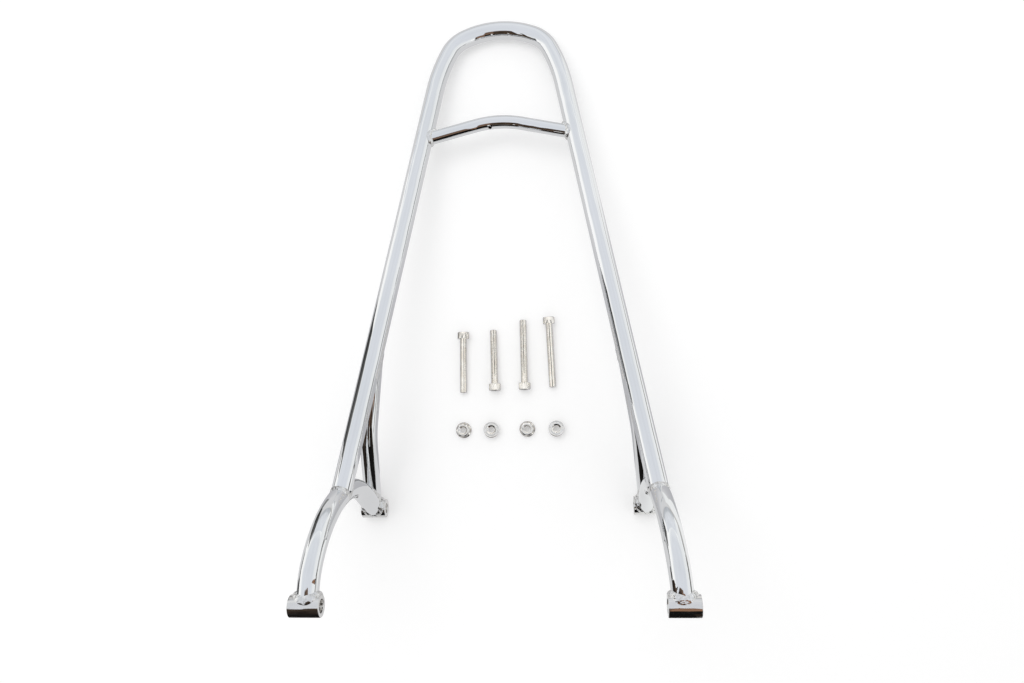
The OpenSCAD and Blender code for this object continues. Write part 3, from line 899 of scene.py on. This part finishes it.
def makeCard(name, corners, material):
    bm = bmesh.new()
    bm.faces.new([bm.verts.new(corner) for corner in corners])
    mesh = bpy.data.meshes.new(name)
    bm.to_mesh(mesh)
    bm.free()
    mesh.materials.append(material)
    card = bpy.data.objects.new(name, mesh)
    bpy.context.collection.objects.link(card)
    return card


def glossyOnly(card):
    card.visible_camera = False
    card.visible_diffuse = False
    card.visible_shadow = False
    card.visible_transmission = False


def rectangle(low, high):
    (x0, y0, z0), (x1, y1, z1) = low, high
    if z0 == z1:
        return [(x0, y0, z0), (x1, y0, z0), (x1, y1, z0), (x0, y1, z0)]
    if x0 == x1:
        return [(x0, y0, z0), (x0, y1, z0), (x0, y1, z1), (x0, y0, z1)]
    return [(x0, y0, z0), (x1, y0, z0), (x1, y1, z1), (x0, y1, z1)]


def rayFactor(tree):
    path = addNode(tree, "ShaderNodeLightPath")
    total = path.outputs["Is Camera Ray"]
    for name in ("Is Glossy Ray", "Is Transmission Ray"):
        most = addNode(tree, "ShaderNodeMath", operation="MAXIMUM")
        tree.links.new(total, most.inputs[0])
        tree.links.new(path.outputs[name], most.inputs[1])
        total = most.outputs[0]
    return total


def makeFloor():
    material, tree, shader = nodeTree("paleFloor")
    shader.inputs["Base Color"].default_value = (*floorSettings["colour"], 1)
    shader.inputs["Roughness"].default_value = floorSettings["rough"]
    shader.inputs["Specular IOR Level"].default_value = 0.0
    shader.inputs["Emission Color"].default_value = (1, 1, 1, 1)
    scaled = addNode(tree, "ShaderNodeMath", operation="MULTIPLY")
    scaled.inputs[1].default_value = floorSettings["lift"]
    tree.links.new(rayFactor(tree), scaled.inputs[0])
    tree.links.new(scaled.outputs[0], shader.inputs["Emission Strength"])
    half, drop = floorSettings["size"] / 2, floorSettings["drop"]
    makeCard("floor", rectangle((-half, -half, -drop), (half, half, -drop)), material)


def grey(level):
    return level, level, level


edgeStops = [(0.0, grey(0.03)), (0.8, grey(0.08)), (1.0, grey(0.4))]
blobStops = [(0.0, grey(0.8)), (1.0, grey(0.9))]
cardSettings = {
    # lowest and highest corner, the axis of the glow, where it starts and ends, its stops, and its
    # grain as scale, least and most; the axis R runs outwards from the middle
    "ceiling": ((-9.0, -9.0, 3.6), (9.0, 9.0, 3.6), "R", 3.6, 9.6,
                [(0.0, (0.70, 0.725, 0.775)), (0.28, (0.72, 0.745, 0.79)), (0.50, (0.78, 0.80, 0.83)),
                 (0.66, (0.94, 0.955, 0.96)), (1.0, grey(1.0))], (0.5, 0.96, 1.05)),
    "tableTop": ((-0.42, -0.44, -0.0002), (0.80, 0.90, -0.0002), "X", -0.42, 0.80,
                 [(0.0, (0.68, 0.68, 0.69)), (0.42, (0.65, 0.65, 0.66)), (0.49, (0.86, 0.87, 0.87)),
                  (1.0, grey(0.92))], None),
    "roomFloor": ((-6.0, -6.0, -0.0005), (6.0, 6.0, -0.0005), "X", -6.0, 6.0,
                  [(0.0, grey(0.40)), (0.30, (0.58, 0.58, 0.59)), (0.47, (0.68, 0.68, 0.69)),
                   (0.56, grey(0.66)), (0.62, (0.45, 0.44, 0.43)), (1.0, grey(0.60))], None),
    "frontFloor": ((-1.6, -0.62, -0.0003), (0.24, -0.44, -0.0003), "X", -1.6, 0.24,
                   [(0.0, (0.05, 0.045, 0.04)), (1.0, (0.03, 0.028, 0.025))], (9.0, 0.4, 1.8)),
    "cornerFloor": ((-1.6, -0.44, -0.0003), (-0.45, -0.32, -0.0003), "Y", -0.44, -0.32,
                    [(0.0, grey(0.02)), (0.7, grey(0.05)), (1.0, grey(0.30))],
                    (12.0, 0.5, 2.0)),
    "cornerFlag": ((-1.6, -0.63, 0.0), (-0.82, -0.63, 0.75), "Z", 0.0, 0.75,
                   [(0.0, grey(0.02)), (0.7, (0.05, 0.045, 0.04)), (1.0, (0.25, 0.24, 0.23))],
                   (5.0, 0.4, 2.0)),
    "frontLeft": ((-0.56, -0.62, 0.0), (-0.02, -0.62, 1.75), "Z", 0.0, 1.75,
                  [(0.0, grey(0.005)), (0.20, (0.010, 0.009, 0.008)), (0.225, (0.20, 0.19, 0.18)),
                   (0.25, (0.05, 0.033, 0.022)), (0.7, (0.03, 0.022, 0.017)), (1.0, (0.11, 0.075, 0.055))],
                  (9.0, 0.3, 2.2)),
    "frontRight": ((-0.02, -0.62, 0.0), (0.24, -0.62, 1.75), "Z", 0.0, 1.75,
                   [(0.0, grey(0.005)), (0.33, (0.008, 0.007, 0.006)), (0.36, (0.16, 0.10, 0.07)),
                    (1.0, (0.13, 0.085, 0.06))], (6.0, 0.5, 1.6)),
    "frontLow": ((-1.6, -0.62, 0.0), (-0.56, -0.62, 0.70), "Z", 0.0, 0.70,
                 [(0.0, (0.012, 0.011, 0.010)), (0.6, (0.035, 0.025, 0.018)), (1.0, (0.09, 0.060, 0.04))],
                 (7.0, 0.4, 1.9)),
    "frontLowRight": ((0.24, -0.62, 0.0), (0.40, -0.62, 0.80), "Z", 0.0, 0.80,
                      [(0.0, (0.012, 0.011, 0.010)), (0.5, (0.04, 0.028, 0.02)),
                       (1.0, (0.13, 0.085, 0.06))], (7.0, 0.4, 1.9)),
    "frontFlag": ((-0.92, -0.62, 0.50), (-0.78, -0.62, 1.2), "Z", 0.5, 1.2,
                  [(0.0, (0.06, 0.045, 0.035)), (1.0, (0.04, 0.03, 0.025))], (6.0, 0.4, 2.0)),
    "blobOne": ((0.02, -0.615, 0.30), (0.055, -0.615, 0.60), "Z", 0.3, 0.6, blobStops, None),
    "blobTwo": ((-0.30, -0.615, 0.34), (-0.26, -0.615, 0.58), "Z", 0.3, 0.6, blobStops, None),
    "leftBushingFlag": ((-0.30, -0.36, 0.20), (-0.14, -0.36, 0.33), "Z", 0.20, 0.33,
                        [(0.0, (0.02, 0.015, 0.012)), (1.0, (0.06, 0.042, 0.03))], (20.0, 0.5, 1.5)),
    "rightBushingFlag": ((0.14, -0.36, 0.20), (0.25, -0.36, 0.44), "Z", 0.20, 0.44,
                         [(0.0, grey(0.008)), (0.19, grey(0.008)),
                          (0.23, (0.30, 0.165, 0.10)), (1.0, (0.24, 0.14, 0.09))], (9.0, 0.8, 1.2)),
    "leftFlag": ((-0.45, -0.08, 0.0), (-0.45, 0.14, 0.30), "Z", 0.0, 0.30,
                 [(0.0, grey(0.03)), (0.7, grey(0.06)), (1.0, grey(0.3))], (12.0, 0.4, 2.0)),
    "leftFlagFloor": ((-0.45, -0.10, -0.0001), (-0.30, 0.09, -0.0001), "X", -0.45, -0.30,
                      [(0.0, grey(0.05)), (1.0, grey(0.25))], (25.0, 0.5, 1.8)),
    "backWall": ((-7.0, 6.0, 0.0), (7.0, 6.0, 3.6), "Z", 0.0, 3.6,
                 [(0.0, (0.45, 0.46, 0.47)), (0.04, (0.48, 0.50, 0.53)), (0.18, (0.52, 0.54, 0.57)),
                  (0.25, (0.66, 0.68, 0.71)), (0.5, (0.73, 0.75, 0.79)), (1.0, (0.72, 0.745, 0.79))],
                 (0.8, 0.94, 1.08)),
    "tableMiddle": ((-0.32, -0.20, -0.00015), (0.32, 0.12, -0.00015), "Y", -0.20, 0.12,
                    [(0.0, (0.46, 0.46, 0.48)), (0.6, (0.54, 0.54, 0.56)),
                     (1.0, (0.66, 0.66, 0.67))], None),
    "leftEdge": ((-1.7, -0.62, 0.0), (-1.7, 0.30, 0.28), "Y", -0.62, 0.30, edgeStops, (6.0, 0.4, 2.4)),
    "rightEdge": ((1.7, -0.62, 0.0), (1.7, 0.30, 0.28), "Y", -0.62, 0.30, edgeStops, (6.0, 0.4, 2.4)),
    "rightStrip": ((2.6, -2.0, 0.0), (2.6, 2.0, 0.25), "Y", -2.0, 2.0,
                   [(0.0, grey(0.12)), (0.7, grey(0.20)), (1.0, grey(0.6))], None),
    "rightWall": ((2.7, -4.0, 0.0), (2.7, 4.0, 2.2), "Z", 0.0, 2.2,
                  [(0.0, (0.90, 0.91, 0.91)), (1.0, (0.80, 0.82, 0.84))], None),
}


def makeCards():
    for name, (low, high, axis, start, stop, stops, grain) in cardSettings.items():
        glow = emissionMaterial(name + "Glow", stops, axis, start, stop, grain)
        glossyOnly(makeCard(name, rectangle(low, high), glow))


# thin dark cards under a bright one, low over the cap screws, for the stripes along their shanks
stripeSettings = {
    "bright": ((-0.072, -0.13, 0.0305), (0.078, 0.06, 0.0305)),
    "height": 0.030,
    "width": 0.009,
    "light": 1.0,
    "shade": 0.03,
    # sideways place of each dark card and where it starts and stops, clear of the screw's head
    "places": ((-0.038, -0.12, -0.040), (-0.008, -0.090, 0.0),
               (0.020, -0.090, 0.0), (0.050, -0.12, -0.030)),
}


def seenFromBelow(material):
    # leaves the card clear from above, so that the tubes over it don't show it
    tree = material.node_tree
    output = tree.nodes["Material Output"].inputs["Surface"]
    shown = output.links[0].from_socket
    mix = addNode(tree, "ShaderNodeMixShader")
    tree.links.new(addNode(tree, "ShaderNodeNewGeometry").outputs["Backfacing"], mix.inputs[0])
    tree.links.new(addNode(tree, "ShaderNodeBsdfTransparent").outputs[0], mix.inputs[1])
    tree.links.new(shown, mix.inputs[2])
    tree.links.new(mix.outputs[0], output)


def evenGlow(name, level):
    glow = emissionMaterial(name, [(0.0, grey(level)), (1.0, grey(level))], "Y", 0.0, 1.0, None)
    seenFromBelow(glow)
    return glow


def makeStripes():
    s = stripeSettings
    half, high = s["width"] / 2, s["height"]
    glossyOnly(makeCard("brightCard", rectangle(*s["bright"]), evenGlow("brightGlow", s["light"])))
    glow = evenGlow("stripeGlow", s["shade"])
    for number, (x, start, stop) in enumerate(s["places"], 1):
        corners = rectangle((x - half, start, high), (x + half, stop, high))
        glossyOnly(makeCard("stripe%d" % number, corners, glow))


lightSettings = {
    "worldLow": 0.80, "worldHigh": 1.0,
    "lampPlace": (-0.4, 0.5, 1.9), "lampSize": (1.6, 1.2), "energy": 9.0,
}


def makeLight():
    world = bpy.data.worlds.new("studio")
    bpy.context.scene.world = world
    world.use_nodes = True
    tree = world.node_tree
    background = tree.nodes["Background"]
    background.inputs["Color"].default_value = (1, 1, 1, 1)
    level = addNode(tree, "ShaderNodeMapRange",
                    {"To Min": lightSettings["worldLow"], "To Max": lightSettings["worldHigh"]})
    tree.links.new(rayFactor(tree), level.inputs["Value"])
    tree.links.new(level.outputs["Result"], background.inputs["Strength"])
    lamp = bpy.data.lights.new("softLamp", "AREA")
    lamp.shape = "RECTANGLE"
    lamp.size, lamp.size_y = lightSettings["lampSize"]
    lamp.energy = lightSettings["energy"]
    holder = bpy.data.objects.new("softLamp", lamp)
    place = Vector(lightSettings["lampPlace"])
    holder.matrix_world = facing(place, place)
    holder.visible_glossy = False
    bpy.context.collection.objects.link(holder)


makeFloor()
makeCards()
makeStripes()
makeLight()
bpy.context.scene.view_settings.view_transform = "Standard"
print("stage and light made")
